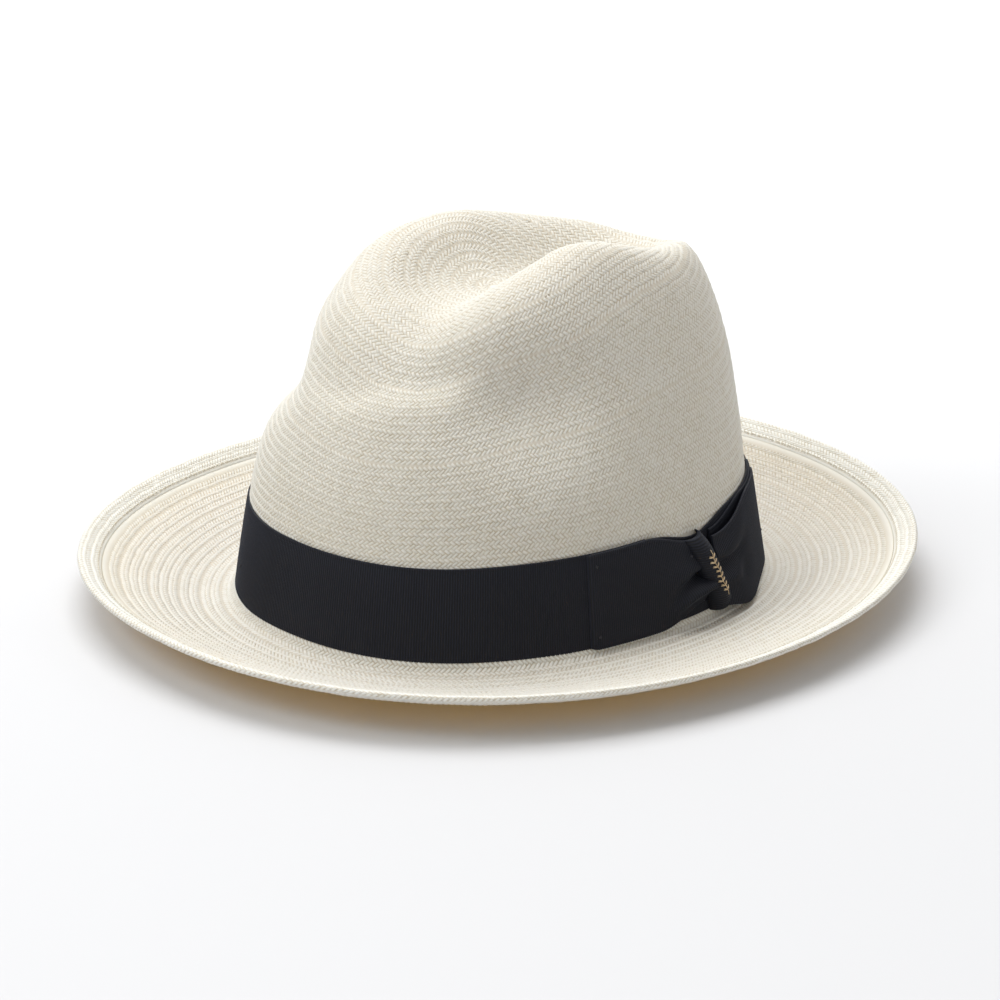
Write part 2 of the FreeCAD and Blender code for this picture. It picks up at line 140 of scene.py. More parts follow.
def deform(x, y, z):
    left = np.tanh(x / 30.0)
    z = z + (TWIST * left * np.tanh(y / 50.0) - LEAN * left) * logistic((z - TOP_LEVEL) / LEVEL_FADE)
    for height, centre_x, centre_y, half_wide, half_long in RIDGE_FORMS:
        form = height * np.exp(-((x - centre_x) / half_wide) ** 2 - ((y - centre_y) / half_long) ** 2)
        z = z + form * logistic((z - TOP_LEVEL) / LEVEL_FADE)
    forward = np.clip(-y / 50.0, -1.5, 1.5)
    depth = DENT_DEPTH * logistic((DENT_BACK - y) / DENT_FADE) * logistic((z - DENT_LEVEL) / LEVEL_FADE)
    depth = depth * (1.0 - DENT_RISE * np.exp(-((y - 4.0) / 26.0) ** 2))
    half = DENT_HALF + DENT_HALF_FRONT * forward
    low = z - depth * np.exp(-1.2 * np.abs((x - DENT_CENTRE) / half) ** 2.6)
    for side, amount, centre_y, centre_z, half_long, half_tall in PINCHES:
        push = amount * np.exp(-((y - centre_y) / half_long) ** 2 - ((low - centre_z) / half_tall) ** 2)
        push = push * logistic((side * x - PINCH_INNER) / PINCH_FADE)
        x = x - side * push
        y = y + 0.3 * push
    return np.stack([x, y, low], -1)


def wall_share(z):
    """The share of the plan radius that the crown's wall has at a height."""
    return 1.0 - WALL_TAPER * z


def wall_point(a, z, offset):
    """A point of the crown's lower wall, moved out by offset. a, z and offset may be arrays."""
    a = np.asarray(a, float)
    r = plan_radius(a) * wall_share(z)
    nx, ny = plan_normal(a)
    return deform(r * np.cos(a) + offset * nx, r * np.sin(a) + offset * ny, z + 0.0 * a)


def smooth_curve(points, steps):
    """A smooth curve through the points."""
    p = np.array(points, float)
    spans = len(p) - 1
    out = []
    for i in range(spans * steps + 1):
        t = i / steps
        k = min(int(t), spans - 1)
        f = t - k
        p0, p1, p2, p3 = p[max(k - 1, 0)], p[k], p[k + 1], p[min(k + 2, spans)]
        out.append(0.5 * (2 * p1 + (p2 - p0) * f + (2 * p0 - 5 * p1 + 4 * p2 - p3) * f * f
                          + (3 * p1 - p0 - 3 * p2 + p3) * f ** 3))
    return np.array(out)


def brim_width(a):
    return BRIM_WIDTH + BRIM_SIDE_EXTRA * np.cos(2.0 * a)


def rim_height(a):
    return RIM_HEIGHT + RIM_BACK_EXTRA * np.sin(a) - RIM_SIDE_DROP * np.cos(2.0 * a)


def brim_height(a, offset):
    """Upper side of the brim without the fold's step."""
    fold = brim_width(a) - FOLD_WIDTH
    top = rim_height(a) - FOLD_RISE - FOLD_STEP - STRAW
    share = (offset - REST_OUTER) / (fold - REST_OUTER)
    dish = STRAW + top * np.clip(share, 0.0, 1.0) ** 1.35
    return dish + FOLD_RISE * np.clip(offset - fold, 0.0, None) / FOLD_WIDTH


def plan_point(a, offset, z):
    r = plan_radius(a)
    nx, ny = plan_normal(a)
    return np.stack([r * np.cos(a) + offset * nx, r * np.sin(a) + offset * ny, z + 0.0 * a], -1)


# ---- surfaces as grids that can be read at any place ----
A_RING = np.linspace(0, math.tau, 721)[:-1]
LEVEL_SHARE = 0.35               # from this share of the way down the crown's rows turn level


class Skin:
    """A surface that is closed around: rows of points, read by (angle, row position in mm)."""

    def __init__(self, grid, length):
        self.grid = grid
        self.length = length
        across = np.roll(grid, -1, 1) - np.roll(grid, 1, 1)
        along = np.gradient(grid, axis=0)
        n = np.cross(along, across)
        n /= np.maximum(np.linalg.norm(n, axis=2, keepdims=True), 1e-9)
        self.normal = n

    def read(self, table, a, s):
        rows, cols = table.shape[:2]
        c = (np.asarray(a) / math.tau % 1.0) * cols
        r = np.clip(np.asarray(s) / self.length, 0, 1) * (rows - 1)
        c0 = np.floor(c).astype(int)
        r0 = np.minimum(np.floor(r).astype(int), rows - 2)
        fc = (c - c0)[..., None]
        fr = (r - r0)[..., None]
        c0 = c0 % cols
        c1 = (c0 + 1) % cols
        top = table[r0, c0] * (1 - fc) + table[r0, c1] * fc
        low = table[r0 + 1, c0] * (1 - fc) + table[r0 + 1, c1] * fc
        return top * (1 - fr) + low * fr

    def at(self, a, s, lift):
        p = self.read(self.grid, a, s)
        n = self.read(self.normal, a, s)
        n = n / np.maximum(np.linalg.norm(n, axis=-1, keepdims=True), 1e-9)
        return p + n * np.asarray(lift)[..., None]

    def around_length(self, s):
        a = np.linspace(0, math.tau, 361)
        p = self.at(a, s, 0.0)
        return float(np.linalg.norm(np.diff(p, axis=0), axis=1).sum())


def arc_lengths(points):
    """The distance along each column of points from its first row."""
    steps = np.linalg.norm(np.diff(points, axis=0), axis=2)
    return np.concatenate([np.zeros((1, points.shape[1])), np.cumsum(steps, axis=0)])


def respaced(points, count, places):
    """A skin with count rows. places gives the distances of a column's rows from the column's length."""
    arc = arc_lengths(points)
    grid = np.zeros((count, points.shape[1], 3))
    for j in range(points.shape[1]):
        wanted = places(arc[-1, j])
        for k in range(3):
            grid[:, j, k] = np.interp(wanted, arc[:, j], points[:, j, k])
    return Skin(grid, float(arc[-1].mean()))


def crown_skin(inset=0.0):
    """The crown, moved inwards by inset. Its rows keep their distance from the tip at first,
    and are drawn level with the base further down."""
    a = A_RING
    wall = [(wall_share(z), z) for z in WALL_LEVELS]
    front, side, back = (smooth_curve(profile + wall, 16) for profile in (FRONT, SIDE, BACK))
    s2 = np.sin(a) ** 2
    rows = []
    for f, m, b in zip(front, side, back):
        end = np.where((np.sin(a) < 0)[:, None], f, b)
        share = end[:, 0] * s2 + m[0] * (1 - s2)
        z = end[:, 1] * s2 + m[1] * (1 - s2)
        r = plan_radius(a) * share
        shift = TIP_SHIFT * (1 - np.minimum(share, 1)) ** 1.5
        rows.append(deform(r * np.cos(a), r * np.sin(a) + shift, z))
    points = np.array(rows)
    mean = float(arc_lengths(points)[-1].mean())
    level = np.linspace(0, mean, 420)
    blend = smooth((level / mean - LEVEL_SHARE) / (1 - LEVEL_SHARE))
    skin = respaced(points, 420, lambda length: level + (length - mean) * blend)
    skin.grid = skin.grid - skin.normal * inset
    return skin


def strip_skin(offsets, heights):
    """A ring surface given by its rows' offsets from the crown's base and their heights."""
    points = np.array([plan_point(A_RING, o, z) for o, z in zip(offsets, heights)])
    return respaced(points, 160, lambda length: np.linspace(0, length, 160))


# ---- meshes ----
def put(name, data):
    """Makes an object of the data and puts it into the scene."""
    obj = bpy.data.objects.new(name, data)
    bpy.context.scene.collection.objects.link(obj)
    return obj


class Net:
    """Vertices with their share of the plait's height, which the materials turn into painted shade in the
    hollows, and their way along it in mm, and tinted faces.
    """

    def __init__(self):
        self.points = []
        self.heights = []
        self.ways = []
        self.faces = []
        self.tints = []
        self.sharp = set()
        self.count = 0

    def add(self, points, height=1.0, way=0.0):
        """Returns the vertices' numbers, in an array laid out as the points are."""
        points = np.asarray(points, float)
        ids = self.count + np.arange(points.size // 3).reshape(points.shape[:-1])
        self.points.append(points.reshape(-1, 3))
        self.heights.append(np.broadcast_to(height, ids.shape).ravel())
        self.ways.append(np.full(ids.size, way))
        self.count += ids.size
        return ids

    def face(self, corners, tint=0.5, flip=False):
        self.faces.append(tuple(int(c) for c in (corners[::-1] if flip else corners)))
        self.tints.append(tint)

    def grid(self, ids, closed, tint=0.5, flip=False):
        """Quads over an array of vertex numbers [row][column]."""
        rows, cols = ids.shape
        for i in range(rows - 1):
            for j in range(cols if closed else cols - 1):
                k = (j + 1) % cols
                self.face((ids[i, j], ids[i + 1, j], ids[i + 1, k], ids[i, k]), tint, flip)

    def build(self, name):
        """Makes the piece as an object that is smooth-shaded between its sharp edges."""
        mesh = bpy.data.meshes.new(name)
        points = np.concatenate(self.points) * 0.001
        mesh.from_pydata(points.tolist(), [], self.faces)
        mesh.validate()

        def mark(label, kind, domain, values):
            mesh.attributes.new(label, kind, domain).data.foreach_set("value", values)

        mark("tint", "FLOAT", "FACE", np.array(self.tints, np.float32))
        for label, values in (("height", self.heights), ("way", self.ways)):
            mark(label, "FLOAT", "POINT", np.concatenate(values).astype(np.float32))
        mesh.polygons.foreach_set("use_smooth", np.full(len(mesh.polygons), True))
        if self.sharp:
            keys = np.zeros(len(mesh.edges) * 2, np.int64)
            mesh.edges.foreach_get("vertices", keys)
            keys = np.sort(keys.reshape(-1, 2), axis=1)
            flags = np.array([(int(p), int(q)) in self.sharp for p, q in keys])
            mark("sharp_edge", "BOOLEAN", "EDGE", flags)
        mesh.update()
        obj = put(name, mesh)
        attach(obj, "root")
        return obj


# ---- plait ----
def hand_wobble(a, s):
    """The slight unevenness of hand weaving, in mm, fading out where the plait begins."""
    wave = sum(size * np.sin(waves * a + pitch * s + start) for size, waves, pitch, start in WOBBLE)
    return wave * smooth(s / WOBBLE_FADE)


def zip_rings(net, upper, lower, flip, tint=0.5):
    """Triangles between two closed rings that have different numbers of vertices."""
    m, n = len(upper), len(lower)
    i = j = 0
    while i < m or j < n:
        if j >= n or (i < m and (i + 1) * n <= (j + 1) * m):
            tri = (upper[i % m], lower[j % n], upper[(i + 1) % m])
            i += 1
        else:
            tri = (upper[i % m], lower[j % n], lower[(j + 1) % n])
            j += 1
        net.face(tri, tint, flip)


def plait_zone(net, skin, start, pairs, stretch, count, flip, relief, straws):
    """Rings of plaited strands. Returns the vertex numbers of the zone's first and last plain rings."""
    levels = pairs * 4
    ids = {}
    sign = -1.0 if flip else 1.0
    for v in range(-1, levels + 1):
        u = np.arange(2 * count)
        high = (u + v) % 2 == 0
        wave = RING_WAVE * math.cos(math.pi * (v - 0.5) / 2.0)
        height = relief * np.where(high, RIDGE, VALLEY) + wave
        jitter = rng.normal(0, JITTER, 2 * count)
        # painted shade: low corners get a small random height share, so the colour darkens between strands
        share = np.where(high, 1.0, rng.uniform(0.0, 0.32, 2 * count))
        if v in (-1, levels):
            u = u[u % 2 == (0 if v == -1 else 1)]
            height = np.zeros(u.shape)
            jitter = 0.0
            share = JOINT_SHARE
        a = math.tau * u / (2 * count)
        s = start + (v + 1) * HALF * stretch
        sway = 1.2 * hand_wobble(a, s)
        rise = 0.35 * hand_wobble(a + 0.5, 1.7 * s)
        points = skin.at(a, s + sway, sign * (height + jitter) + rise)
        for place, number in zip(u.tolist(), net.add(points, share, s).tolist()):
            ids[(place, v)] = number

    def corner(u, v):
        return ids[(u % (2 * count), v)]

    def strand(points, ridges, tint):
        p1, m12, p2, p3, m34, p4 = points
        r1, r2 = ridges
        for tri in ((p4, p1, r1), (p1, m12, r1), (m12, r2, r1), (m12, p2, r2),
                    (p2, p3, r2), (p3, m34, r2), (m34, r1, r2), (m34, p4, r1)):
            net.face(tri, tint, flip)
        edge = [p1, m12, p2, p3, m34, p4]
        for k in range(6):
            net.sharp.add(tuple(sorted((edge[k], edge[(k + 1) % 6]))))

    for pair in range(pairs):
        v = 4 * pair
        w = v + 2
        for n in range(count):
            u = 2 * n
            strand([corner(u - 1, v), corner(u, v + 1), corner(u + 1, v + 2),
                    corner(u + 2, v + 1), corner(u + 1, v), corner(u, v - 1)],
                   (corner(u, v), corner(u + 1, v + 1)), straws[0][((u - v) // 2) % count])
            strand([corner(u, w - 1), corner(u - 1, w), corner(u - 2, w + 1),
                    corner(u - 1, w + 2), corner(u, w + 1), corner(u + 1, w)],
                   (corner(u, w), corner(u - 1, w + 1)), straws[1][((u + w) // 2) % count])
    first_ring = [corner(2 * n, -1) for n in range(count)]
    last_ring = [corner(2 * n + 1, levels) for n in range(count)]
    for n in range(count):
        u = 2 * n
        net.face((corner(u, -1), corner(u + 1, 0), corner(u + 2, -1)), 0.5, flip)
        net.face((corner(u - 1, levels), corner(u + 1, levels), corner(u, levels - 1)), 0.5, flip)
    return first_ring, last_ring


def plait(net, skin, start, end, ratio, flip=False, relief=1.0, link=None):
    """Covers a skin with plait from start to end. Strands are added in rings where it widens."""
    s = start
    rings = []
    while end - s > SHORTEST:
        base = skin.around_length(s)
        pairs = 1
        while s + (pairs + 1) * PAIR < end and skin.around_length(s + (pairs + 1) * PAIR) < ratio * base:
            pairs += 1
        left = end - (s + pairs * PAIR)
        stretch = 1.0
        if left < SHORTEST:
            stretch = (end - s) / (pairs * PAIR + HALF)
        count = max(8, round(skin.around_length(s + pairs * PAIR * 0.5) / (2.0 * HALF)))
        straws = np.clip(rng.normal(0.5, 0.16, (2, count)), 0, 1)
        first, last = plait_zone(net, skin, s, pairs, stretch, count, flip, relief, straws)
        rings.append((first, last))
        if link is not None:
            zip_rings(net, link, first, flip)
        link = last
        s += (pairs * 4 + 1) * HALF * stretch + JOINT_GAP
    return rings


def plain_rows(net, skin, start, end, count, columns, flip, lift=0.0, link=None):
    """A smooth strip of a skin. Joins it to the ring of vertices in link."""
    tint = 0.4
    height = -lift if flip else lift
    ids = []
    for s in np.linspace(start, end, count):
        ids.append(net.add(skin.at(around(columns), s, height), 0.7, s))
    net.grid(np.array(ids), True, tint, flip)
    if link is not None:
        zip_rings(net, link, list(ids[0]), flip, tint)
    return list(ids[-1])


# ---- straw: crown ----
def close_tip(net, tip, ring, flip):
    for k in range(len(ring)):
        tri = (ring[k], ring[(k + 1) % len(ring)])
        net.face((tip, *(tri[::-1] if flip else tri)), 0.5)


def build_crown():
    net = Net()
    outer = crown_skin()
    tip = net.add(outer.at(0.0, 0.0, 0.05))
    stop = outer.length - HIDDEN_WALL
    rings = plait(net, outer, PLAIT_START, stop, CROWN_WIDENING)
    close_tip(net, tip, rings[0][0], False)
    plain_rows(net, outer, stop + 0.6, outer.length, 5, 200, False, 0.0, rings[-1][1])
    return net.build("straw_crown")


def build_crown_inside():
    net = Net()
    inner = crown_skin(STRAW)
    tip = net.add(inner.at(0.0, 0.0, 0.0))
    rings = plait(net, inner, PLAIT_START, inner.length - 12.0, CROWN_WIDENING, flip=True)
    close_tip(net, tip, rings[0][0], True)
    plain_rows(net, inner, inner.length - 11.0, inner.length, 4, 200, True, 0.0, rings[-1][1])
    return net.build("straw_crown_inside")


# ---- straw: brim ----
# the bend between the crown's wall and the brim: height the wall's taper is taken at, offset, height
TOP_BEND = [(9.0, 0.0, 9.0), (6.5, 0.2, 6.5), (0.0, 0.1, 4.5), (0.0, 1.6, 2.35), (0.0, 4.4, 1.35),
            (0.0, 8.0, STRAW)]
UNDER_BEND = [(9.0, -1.25, 9.0), (6.5, -1.1, 6.5), (0.0, -0.9, 3.9), (0.0, 0.7, 1.45), (0.0, 3.0, 0.35),
              (0.0, 5.0, 0.16), (0.0, 8.0, 0.14)]
UNDER_CLEAR = 0.14               # the underside is laid at least this far above the table
RIM_ROUND = 1.1                  # radius of the brim's rim


def bend_rows(table):
    """The offsets and heights of a bend's rows."""
    base = -WALL_TAPER * plan_radius(A_RING)
    offsets = [base * level + offset for level, offset, z in table]
    return offsets, [z for level, offset, z in table]


def brim_top_skin():
    a = A_RING
    fold = brim_width(a) - FOLD_WIDTH
    offsets, heights = bend_rows(TOP_BEND)
    for share in np.linspace(0, 1, 24):
        o = REST_OUTER + share * (fold - 0.15 - REST_OUTER)
        offsets.append(o)
        heights.append(brim_height(a, o) + 0.62 * smooth((o - fold + 7.0) / 7.0))
    return strip_skin(offsets, heights)


def brim_under_skin():
    a = A_RING
    width = brim_width(a)
    fold = width - FOLD_WIDTH
    offsets, heights = bend_rows(UNDER_BEND)
    for share in np.linspace(0, 1, 28):
        o = REST_OUTER + share * (width - RIM_ROUND - REST_OUTER)
        offsets.append(o)
        heights.append(np.maximum(brim_height(a, o) - STRAW, UNDER_CLEAR))
    middle = brim_height(a, width - RIM_ROUND) - 0.1
    for turn in np.linspace(0.16, 0.84, 7) * math.pi:
        offsets.append(width - RIM_ROUND + RIM_ROUND * math.sin(turn))
        heights.append(middle + 0.4 * math.sin(turn) - RIM_ROUND * math.cos(turn))
    for o in np.linspace(RIM_ROUND, FOLD_WIDTH - 1.6, 7):
        offsets.append(width - o)
        heights.append(brim_height(a, width - o) + FOLD_STEP)
    for extra, lift in ((0.8, 0.88), (0.4, 0.68), (0.15, 0.4), (0.05, -0.2)):
        offsets.append(fold + extra)
        heights.append(brim_height(a, fold + extra) + lift)
    return strip_skin(offsets, heights)


def build_brim_top():
    net = Net()
    top = brim_top_skin()
    start = plain_rows(net, top, 0.0, 3.6, 3, 240, False)
    rings = plait(net, top, 3.9, top.length - 0.45, BRIM_WIDENING, relief=1.35, link=start)
    plain_rows(net, top, top.length - 0.3, top.length, 2, 420, False, -0.2, rings[-1][1])
    return net.build("straw_brim")


def build_brim_under():
    """The brim's underside, its rim and the upper side of its folded edge."""
    net = Net()
    under = brim_under_skin()
    start = plain_rows(net, under, 0.0, 6.0, 3, 240, True)
    rings = plait(net, under, 6.3, under.length - 1.6, BRIM_WIDENING, flip=True, link=start)
    plain_rows(net, under, under.length - 1.2, under.length, 3, 420, True, 0.0, rings[-1][1])
    return net.build("straw_brim_underside")


# ---- thread ----
def stitch(net, path, radius, tint=0.5):
    """A short rounded thread along a few points."""
    turn = around(6)
    path = np.asarray(path, float)
    tangent = np.gradient(path, axis=0)
    tangent /= np.linalg.norm(tangent, axis=1, keepdims=True)
    across = np.cross(tangent, np.array([0.0, 0.0, 1.0]) + 0.01)
    across /= np.linalg.norm(across, axis=1, keepdims=True)
    up = np.cross(across, tangent)
    rows = []
    for k in range(len(path)):
        size = radius * (0.45 if k in (0, len(path) - 1) else 1.0)
        ring = path[k] + size * (np.cos(turn)[:, None] * across[k] + np.sin(turn)[:, None] * up[k])
        rows.append(net.add(ring))
    net.grid(np.array(rows), True, tint)
    net.face(rows[0], tint)
    net.face(rows[-1], tint, True)


def build_brim_stitching():
    net = Net()
    count = 300
    for k in range(count):
        a = math.tau * (k + np.array([0.0, 0.25, 0.5, 0.72, 0.86])) / count
        o = brim_width(a) - FOLD_WIDTH + 1.25
        lift = np.array([-0.12, 0.18, 0.24, 0.18, -0.12]) + FOLD_STEP + 0.16
        stitch(net, plan_point(a, o, brim_height(a, o) + lift), 0.16, tint=float(rng.uniform(0.3, 0.7)))
    return net.build("brim_edge_stitching")


# ---- ribbon ----
RIB = 0.9                        # pitch of the grosgrain's ribs
RIB_DEPTH = 0.32
LIFT = 1.05                      # the ribbon's outer face, clear of the plait's relief
CLOTH = 0.5
CROWN_RADIUS = 90.0              # near the bow
BAND_BACK_RISE = 2.6             # the band's upper edge is this much higher at the back
KNOT_ANGLE = 19.5                # places around the hat, in degrees behind the wearer's left
KNOT_HALF = 3.1
KNOT_SLANT = 8.0                 # the knot's lower end is this many degrees further back than its top
KNOT_GATHER = 4.6                # the knot draws the band's upper edge down this much
GATHER_ANGLE = 17.0
GATHER_HALF = 10.0
PANEL_START = -18.5
WING_END = 58.0


def bump(x, centre, width):
    return np.exp(-((x - centre) / width) ** 2)


def edge_rows(count, near=(0.0, 0.006, 0.018, 0.028, 0.036, 0.044, 0.056, 0.075)):
    """Shares from 0 to 1, closer together near both edges."""
    near = np.array(near)
    middle = np.linspace(near[-1], 1.0 - near[-1], count)[1:-1]
    return np.concatenate([near, middle, (1.0 - near)[::-1]])


def selvage(w, height):
    """The ribbon's woven edge: a fine groove 1.3 mm in, and a rounded rim."""
    d = np.minimum(w, 1.0 - w) * height
    return -0.14 * bump(d, 1.3, 0.28) - 0.16 * np.exp(-d / 0.22)


def sheet_net(over, under, closed, ribs=0.8):
    """A thin body from an outer and an inner net of points [row][column].
    ribs: share of the ribs' height, which the grosgrain's colour turns into painted shade in the ribs'
    hollows."""
    net = Net()
    top = net.add(over, ribs)
    low = net.add(under)
    net.grid(top, closed, flip=True)
    net.grid(low, closed)
    for row, flip in ((0, True), (-1, False)):
        net.grid(np.array([low[row], top[row]]), closed, flip=flip)
    if not closed:
        for col, flip in ((0, False), (-1, True)):
            net.grid(np.array([low[:, col], top[:, col]]), False, flip=flip)
    return net


def band_top(a):
    """The band's upper edge, drawn down a little where the knot gathers it."""
    gather = KNOT_GATHER * bump(np.degrees(a), GATHER_ANGLE, GATHER_HALF)
    back = BAND_BACK_RISE * smooth((np.sin(a) - 0.3) / 0.6)
    return RIBBON_TOP + back + 0.25 * np.sin(3 * a + 2.0) + 0.12 * np.sin(8 * a) - gather


def build_hatband():
    circumference = math.tau * math.sqrt(0.5 * (HALF_WIDTH ** 2 + HALF_LENGTH ** 2))
    cols = 4 * round(circumference / RIB)
    a, w = np.meshgrid(around(cols), edge_rows(5, (0.0, 0.010, 0.026, 0.038, 0.052)))
    # share: the ribs' relief, also passed on as the height share that paints shade into their hollows
    share = 0.5 + 0.5 * np.cos(math.tau * np.arange(cols) / 4.0) + 0.0 * a
    ease = 0.10 * np.sin(3 * a + 0.7) + 0.07 * np.sin(7 * a + 2.1) + 0.05 * np.sin(13 * a)
    bottom = RIBBON_BOTTOM + 0.22 * np.sin(4 * a + 0.5) + 0.12 * np.sin(9 * a + 1.7)
    z = bottom + (band_top(a) - bottom) * w
    belly = 0.25 * (1.0 - (2.0 * w - 1.0) ** 2) * (0.5 + 0.5 * np.sin(5 * a + 1.0))
    relief = selvage(w, RIBBON_TOP - RIBBON_BOTTOM) + RIB_DEPTH * (share - 0.5)
    over = wall_point(a, z, LIFT + ease + belly + relief)
    under = wall_point(a, z, LIFT - CLOTH - 0.1)
    return sheet_net(over, under, True, share).build("hatband_ribbon")


def leaf(name, start, end, low, high, offset, thickness, slant=None):
    """A piece of ribbon laid on the band. low, high: functions of u. offset, thickness: functions of u, w.
    With slant, a function of w in degrees, its ribs run level and its ends lean."""
    spacing = 0.25
    arc = math.radians(end - start) * CROWN_RADIUS
    tall = float(high(np.array([0.5]))[0] - low(np.array([0.5]))[0])
    if slant is not None:
        ribs = round(tall / RIB)
        u = 0.5 - 0.5 * np.cos(math.pi * np.linspace(0.0, 1.0, 33))
        u, w = np.meshgrid(u, np.linspace(0.0, 1.0, 4 * ribs + 1))
        phase = w * ribs
        edge = selvage(u, arc) * 0.8
        lean = slant(w)
    else:
        cols = round(arc / RIB / spacing) + 1
        u, w = np.meshgrid(np.linspace(0.0, 1.0, cols), edge_rows(26))
        phase = u * (cols - 1) * spacing
        edge = selvage(w, tall)
        lean = 0.0
    z = low(u) + (high(u) - low(u)) * w
    angle = np.radians(start + (end - start) * u + lean)
    # share: the ribs' relief, also passed on as the height share that paints shade into their hollows
    share = 0.5 + 0.5 * np.cos(math.tau * phase)
    out = LIFT + offset(u, w)
    over = wall_point(angle, z, out + (RIB_DEPTH * (share - 0.5) + edge))
    under = wall_point(angle, z, out - thickness(u, w))
    return sheet_net(over, under, False, share).build(name)


def front_low(u):
    return RIBBON_BOTTOM - 0.6 + 4.6 * smooth((u - 0.55) / 0.45) + 0.5 * smooth((0.05 - u) / 0.05)


def front_high(u):
    return RIBBON_TOP + 0.3 - 6.2 * smooth((u - 0.48) / 0.52) - 0.3 * smooth((0.04 - u) / 0.04)


def rounding(t):
    """A quarter circle that starts level and ends steep, as t goes from 0 to 1."""
    return 1.0 - np.sqrt(np.clip(1.0 - np.clip(t, 0, 1) ** 2, 0, 1))


def fold_round(u):
    """From 0 to 1 over the panel's first 2 mm, as the ribbon turns back on itself."""
    return np.sqrt(np.clip(1.0 - (1.0 - np.clip(u / 0.035, 0, 1)) ** 2, 0, 1))


def front_offset(u, w):
    near = smooth((u - 0.52) / 0.48)
    line = 0.28 + 0.20 * near
    swell = 3.4 * smooth((u - 0.30) / 0.70) * np.sqrt(np.sin(math.pi * np.clip(w, 0.001, 0.999)))
    pocket = 5.4 * near ** 1.3 * bump(w, line + 0.01, 0.085)
    roll = 3.2 * near * bump(w, line - 0.16, 0.080)
    lower = 1.6 * smooth((u - 0.7) / 0.3) * bump(w, 0.06, 0.12)
    crease = 0.35 * smooth((u - 0.2) / 0.4) * np.sin(9.0 * w + 5.0 * u)
    flat = 1.3 * near * smooth((w - line - 0.14) / 0.3)
    return 0.35 + 1.25 * fold_round(u) + swell - pocket + roll - lower + crease - flat


def front_depth(u, w):
    return 0.3 + 0.5 * fold_round(u) + 0.5 * smooth((u - 0.1) / 0.3)


def wing_low(u):
    rise = 1.2 * smooth((u - 0.3) / 0.5)
    return RIBBON_BOTTOM + 1.6 - 3.0 * smooth(u / 0.30) + rise + 3.0 * rounding((u - 0.84) / 0.16)


def wing_high(u):
    return RIBBON_TOP - 5.6 + 6.8 * smooth(u / 0.62) - 0.8 * rounding((u - 0.90) / 0.10)


def wing_offset(u, w):
    near = 1.0 - smooth(u / 0.50)
    body = 1.8 + 2.9 * bump(u, 0.16, 0.34)
    flare = 2.6 * bump(u, 0.24, 0.27) * (1.0 - w) ** 1.2
    line = 0.52 + 0.14 * np.clip(u / 0.5, 0, 1)
    pocket = 3.4 * near * smooth(u / 0.06 + 0.6) * bump(w, line, 0.075)
    ridges = 1.4 * near * (bump(w, line - 0.19, 0.085) + 0.9 * bump(w, line + 0.2, 0.09))
    dimple = 1.6 * bump(u, 0.30, 0.09) * bump(w, 0.40, 0.13)
    curl = 0.5 * smooth((u - 0.86) / 0.14)
    return body + flare - pocket + ridges - dimple - curl


def under_low(u):
    return RIBBON_BOTTOM + 0.1 + 0.5 * u


def under_high(u):
    return RIBBON_TOP - 4.3 + 5.6 * smooth(u / 0.45)


def under_offset(u, w):
    return 0.95 + 0.25 * np.sin(3.0 * u + 2.0 * w)


def knot_offset(u, w):
    side = np.sin(math.pi * np.clip(u, 0.0, 1.0)) ** 0.36
    end = np.abs(2.0 * w - 1.0) ** 5
    return 2.0 + 5.2 * side - 3.2 * end


def knot_low(u):
    return RIBBON_BOTTOM - 0.6 + 1.2 * u


def knot_high(u):
    return RIBBON_TOP - 4.8 + 1.8 * u


def knot_slant(w):
    """The knot leans: its lower end is further back. In degrees."""
    return KNOT_SLANT * (0.5 - w)


def build_bow():
    def whole(value):
        return lambda u, w: value + 0.0 * u

    front = leaf("bow_front_panel", PANEL_START, KNOT_ANGLE - 1.4, front_low, front_high,
                 front_offset, front_depth)
    wing = leaf("bow_rear_wing", KNOT_ANGLE + 1.4, WING_END, wing_low, wing_high,
                wing_offset, whole(0.9))
    under = leaf("bow_under_layer", KNOT_ANGLE + 3.0, WING_END + 4.0, under_low, under_high,
                 under_offset, whole(0.7))
    knot = leaf("bow_knot", KNOT_ANGLE - KNOT_HALF, KNOT_ANGLE + KNOT_HALF, knot_low, knot_high,
                knot_offset, whole(1.6), knot_slant)
    return front, wing, under, knot


def knot_place(turn, w):
    """A point on the knot's outer face. turn in degrees from its middle, w from 0 below to 1 above."""
    u = 0.5 + turn / (2.0 * KNOT_HALF)
    z = knot_low(u) + (knot_high(u) - knot_low(u)) * w
    angle = math.radians(KNOT_ANGLE + turn + knot_slant(w))
    return wall_point(angle, z, LIFT + float(knot_offset(u, w)) + 0.2)


def build_embroidery():
    """A plain sprig in gold thread: a stem of short stitches with leaves to both sides."""
    net = Net()
    steps = 19
    for k in range(steps):
        w = 0.20 + 0.60 * k / (steps - 1)
        sway = 0.35 + 0.25 * math.sin(0.8 * k)
        stem = [knot_place(sway, w), knot_place(sway + 0.06, w + 0.02), knot_place(sway, w + 0.038)]
        stitch(net, stem, 0.17, tint=float(rng.uniform(0.3, 0.8)))
        if k % 2 == 0 and 0 < k < steps - 1:
            for side in (-1.0, 1.0):
                for share in (0.0, 0.35, 0.7):
                    reach = 1.35 - 0.4 * share
                    path = [knot_place(sway, w + 0.013 * share),
                            knot_place(sway + side * 0.5 * reach, w + 0.015 + 0.016 * share),
                            knot_place(sway + side * reach, w + 0.024 + 0.026 * share)]
                    stitch(net, path, 0.15, tint=float(rng.uniform(0.3, 0.8)))
    return net.build("knot_embroidery")


